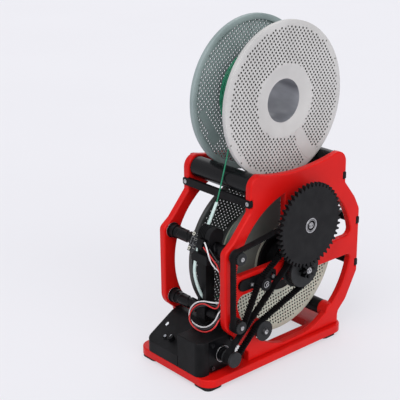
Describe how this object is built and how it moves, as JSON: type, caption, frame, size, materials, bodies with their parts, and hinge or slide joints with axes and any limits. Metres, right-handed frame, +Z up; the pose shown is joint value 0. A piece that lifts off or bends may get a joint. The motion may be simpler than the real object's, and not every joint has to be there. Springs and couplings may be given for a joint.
{
  "type": "filament spool winder",
  "caption": "Red framed winder that winds filament from a spool on rollers through a traversing guide tube onto a spool below, driven by a motor, toothed belts and gears",
  "frame": {"origin": "on the floor, in the middle of the whole outline", "axes": "X across with the gears at +X, the front with its motor at -Y, Z up"},
  "size_m": [0.1568, 0.2776, 0.433],
  "materials": {
    "red_painted_metal": "satin",
    "black_plastic": "fine layered surface",
    "foot_rubber": null,
    "steel": null,
    "belt_rubber": null,
    "spool_plastic": null,
    "grey_gear_plastic": null,
    "pulley_cap_grey": null,
    "filament_plastic": "translucent",
    "circuit_board": null,
    "window_plastic": null,
    "button_bright": null,
    "motor_black": "matt",
    "tube_plastic": "translucent",
    "white_wire": null,
    "red_wire": null,
    "black_wire": null
  },
  "bodies": {
    "frame": {"base_plate": "red_painted_metal", "rubber_feet": "foot_rubber", "left_side_frame": "red_painted_metal", "right_side_frame": "red_painted_metal", "front_tie_bar": "black_plastic", "rear_tie_bars": "black_plastic", "rear_spacer": "black_plastic", "frame_screws": "steel", "controller_case": "black_plastic", "controller_board": "circuit_board", "light_window": "window_plastic", "motor_cover": "black_plastic", "motor_body": "motor_black", "motor_pilot_ring": "steel", "motor_screws": "steel", "roller_axles": "steel", "axle_bearings": "steel", "traverse_bushes": "black_plastic", "stub_axles": "steel", "drive_belt": "belt_rubber", "traverse_belt": "belt_rubber", "white_wire": "white_wire", "red_wire": "red_wire", "black_wire": "black_wire"},
    "front_roller_body": {"front_roller": "black_plastic"},
    "rear_roller_body": {"rear_roller": "black_plastic"},
    "feed_spool": {"feed_spool_core": "spool_plastic", "feed_spool_flanges": "spool_plastic", "feed_winding_core": "filament_plastic", "feed_winding": "filament_plastic"},
    "take_up_spool": {"take_up_axle": "steel", "take_up_core": "spool_plastic", "take_up_flanges": "spool_plastic", "take_up_winding": "filament_plastic", "clamp_hubs": "black_plastic", "drive_pulley": "grey_gear_plastic", "drive_pinion": "grey_gear_plastic"},
    "gear_unit": {"big_gear": "grey_gear_plastic", "gear_pulley": "grey_gear_plastic", "gear_bearing": "steel"},
    "motor_rotor": {"motor_coupling": "steel", "motor_pulley": "pulley_cap_grey"},
    "upper_traverse": {"upper_traverse_screw": "black_plastic", "upper_traverse_pulley": "grey_gear_plastic", "upper_pulley_screw": "steel"},
    "lower_traverse": {"lower_traverse_screw": "black_plastic", "lower_traverse_pulley": "grey_gear_plastic", "lower_pulley_screw": "steel"},
    "tension_arm_body": {"tension_arm": "black_plastic"},
    "arm_idler_body": {"arm_idler": "steel"},
    "drive_idler_body": {"drive_idler": "grey_gear_plastic"},
    "carriage": {"carriage_body": "black_plastic", "guide_nose": "black_plastic", "sensor_board": "circuit_board", "wire_plug": "black_plastic", "guide_tube": "tube_plastic", "upper_filament": "filament_plastic", "lower_filament": "filament_plastic"},
    "button_body": {"wind_button": "button_bright"},
    "knob_body": {"speed_knob": "black_plastic"}
  },
  "joints": [
    {"name": "winding_spin", "type": "hinge", "parent": "frame", "child": "take_up_spool", "pos_m": [-0.00905, 0.01965, 0.1236], "axis": [1, 0, 0], "continuous": true},
    {"name": "feed_spin", "type": "hinge", "parent": "frame", "child": "feed_spool", "pos_m": [-0.00905, 0.02465, 0.333], "axis": [1, 0, 0], "continuous": true},
    {"name": "front_roller_spin", "type": "hinge", "parent": "frame", "child": "front_roller_body", "pos_m": [-0.00905, -0.04585, 0.24367], "axis": [1, 0, 0], "continuous": true},
    {"name": "rear_roller_spin", "type": "hinge", "parent": "frame", "child": "rear_roller_body", "pos_m": [-0.00905, 0.09515, 0.24367], "axis": [1, 0, 0], "continuous": true},
    {"name": "gear_spin", "type": "hinge", "parent": "frame", "child": "gear_unit", "pos_m": [0.07395, 0.01965, 0.1852], "axis": [1, 0, 0], "continuous": true},
    {"name": "motor_spin", "type": "hinge", "parent": "frame", "child": "motor_rotor", "pos_m": [0.06095, -0.10185, 0.0383], "axis": [1, 0, 0], "continuous": true},
    {"name": "upper_traverse_spin", "type": "hinge", "parent": "frame", "child": "upper_traverse", "pos_m": [-0.00905, -0.08935, 0.168], "axis": [1, 0, 0], "continuous": true},
    {"name": "lower_traverse_spin", "type": "hinge", "parent": "frame", "child": "lower_traverse", "pos_m": [-0.00905, -0.08935, 0.077], "axis": [1, 0, 0], "continuous": true},
    {"name": "drive_idler_spin", "type": "hinge", "parent": "frame", "child": "drive_idler_body", "pos_m": [0.06195, -0.04985, 0.0593], "axis": [1, 0, 0], "continuous": true},
    {"name": "arm_pivot", "type": "hinge", "parent": "frame", "child": "tension_arm_body", "pos_m": [0.05525, -0.06285, 0.124], "axis": [1, 0, 0], "range_deg": [-6, 0]},
    {"name": "arm_idler_spin", "type": "hinge", "parent": "tension_arm_body", "child": "arm_idler_body", "pos_m": [0.06195, -0.04785, 0.1225], "axis": [1, 0, 0], "continuous": true},
    {"name": "carriage_slide", "type": "slide", "parent": "frame", "child": "carriage", "axis": [1, 0, 0], "range_m": [-0.033, 0.0115], "deforming": ["upper_filament", "white_wire", "red_wire", "black_wire"]},
    {"name": "button_press", "type": "slide", "parent": "frame", "child": "button_body", "axis": [0, 0.5154, -0.857], "range_m": [0, 0.0012], "stiffness_N_per_m": 200},
    {"name": "knob_turn", "type": "hinge", "parent": "frame", "child": "knob_body", "pos_m": [-0.02305, -0.12535, 0.03906], "axis": [0, -0.5154, 0.857], "range_deg": [-135, 135]}
  ],
  "couplings": [
    {"joint": "feed_spin", "follows": "winding_spin", "ratio": 0.81592},
    {"joint": "front_roller_spin", "follows": "winding_spin", "ratio": -6.0439},
    {"joint": "rear_roller_spin", "follows": "winding_spin", "ratio": -6.0439},
    {"joint": "gear_spin", "follows": "winding_spin", "ratio": -0.16667},
    {"joint": "motor_spin", "follows": "winding_spin", "ratio": 2.8889},
    {"joint": "upper_traverse_spin", "follows": "winding_spin", "ratio": -0.12037},
    {"joint": "lower_traverse_spin", "follows": "winding_spin", "ratio": -0.12037},
    {"joint": "drive_idler_spin", "follows": "winding_spin", "ratio": -2.1295},
    {"joint": "arm_idler_spin", "follows": "winding_spin", "ratio": 0.13162}
  ]
}
